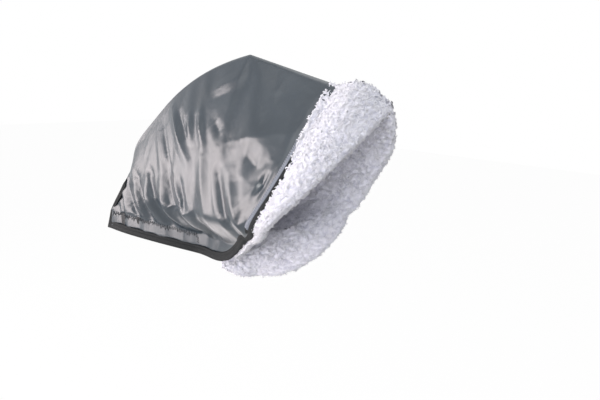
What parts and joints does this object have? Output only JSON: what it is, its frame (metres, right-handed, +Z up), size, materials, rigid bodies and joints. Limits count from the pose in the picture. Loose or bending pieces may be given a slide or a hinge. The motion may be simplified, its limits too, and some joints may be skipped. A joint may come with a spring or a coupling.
{
  "type": "hand warmer muff",
  "caption": "Fleece-lined hand warmer muff that hangs over a walker handle, sewn along the crown, closed round the handle post by hook and loop tape and open to the rear for the hand",
  "frame": {"origin": "on the handle post's axis at the lower edge of the hook and loop tapes", "axes": "+X back from the post to the mouth, +Y to the right side, +Z up along the post"},
  "size_m": [0.3759, 0.1447, 0.2432],
  "materials": {
    "shell_cloth": "satin",
    "fleece": "matte",
    "binding": "matte",
    "hook_tape": "matte",
    "loop_tape": "matte",
    "thread": "matte"
  },
  "bodies": {
    "pouch": {"left_shell": "shell_cloth", "right_shell": "shell_cloth", "left_lining": "fleece", "right_lining": "fleece", "left_cuff": "fleece", "right_cuff": "fleece", "left_mouth_binding": "binding", "right_mouth_binding": "binding", "left_mouth_stitching": "thread", "right_mouth_stitching": "thread", "crown_seam_thread": "thread"},
    "left_flap": {"left_flap_shell": "shell_cloth", "left_flap_lining": "fleece", "left_flap_cuff": "fleece", "left_flap_binding": "binding", "hook_tape": "hook_tape", "hook_tape_stitching": "thread"},
    "right_flap": {"right_flap_shell": "shell_cloth", "right_flap_lining": "fleece", "right_flap_cuff": "fleece", "right_flap_binding": "binding", "loop_tape": "loop_tape", "loop_tape_stitching": "thread"}
  },
  "joints": [
    {"name": "left_flap_fold", "type": "hinge", "parent": "pouch", "child": "left_flap", "pos_m": [0, -0.01942, 0.055], "axis": [-0.9698, 0.2439, 0], "range_deg": [0, 75]},
    {"name": "right_flap_fold", "type": "hinge", "parent": "pouch", "child": "right_flap", "pos_m": [0, 0.01942, 0.055], "axis": [0.9698, 0.2439, 0], "range_deg": [0, 75]}
  ]
}
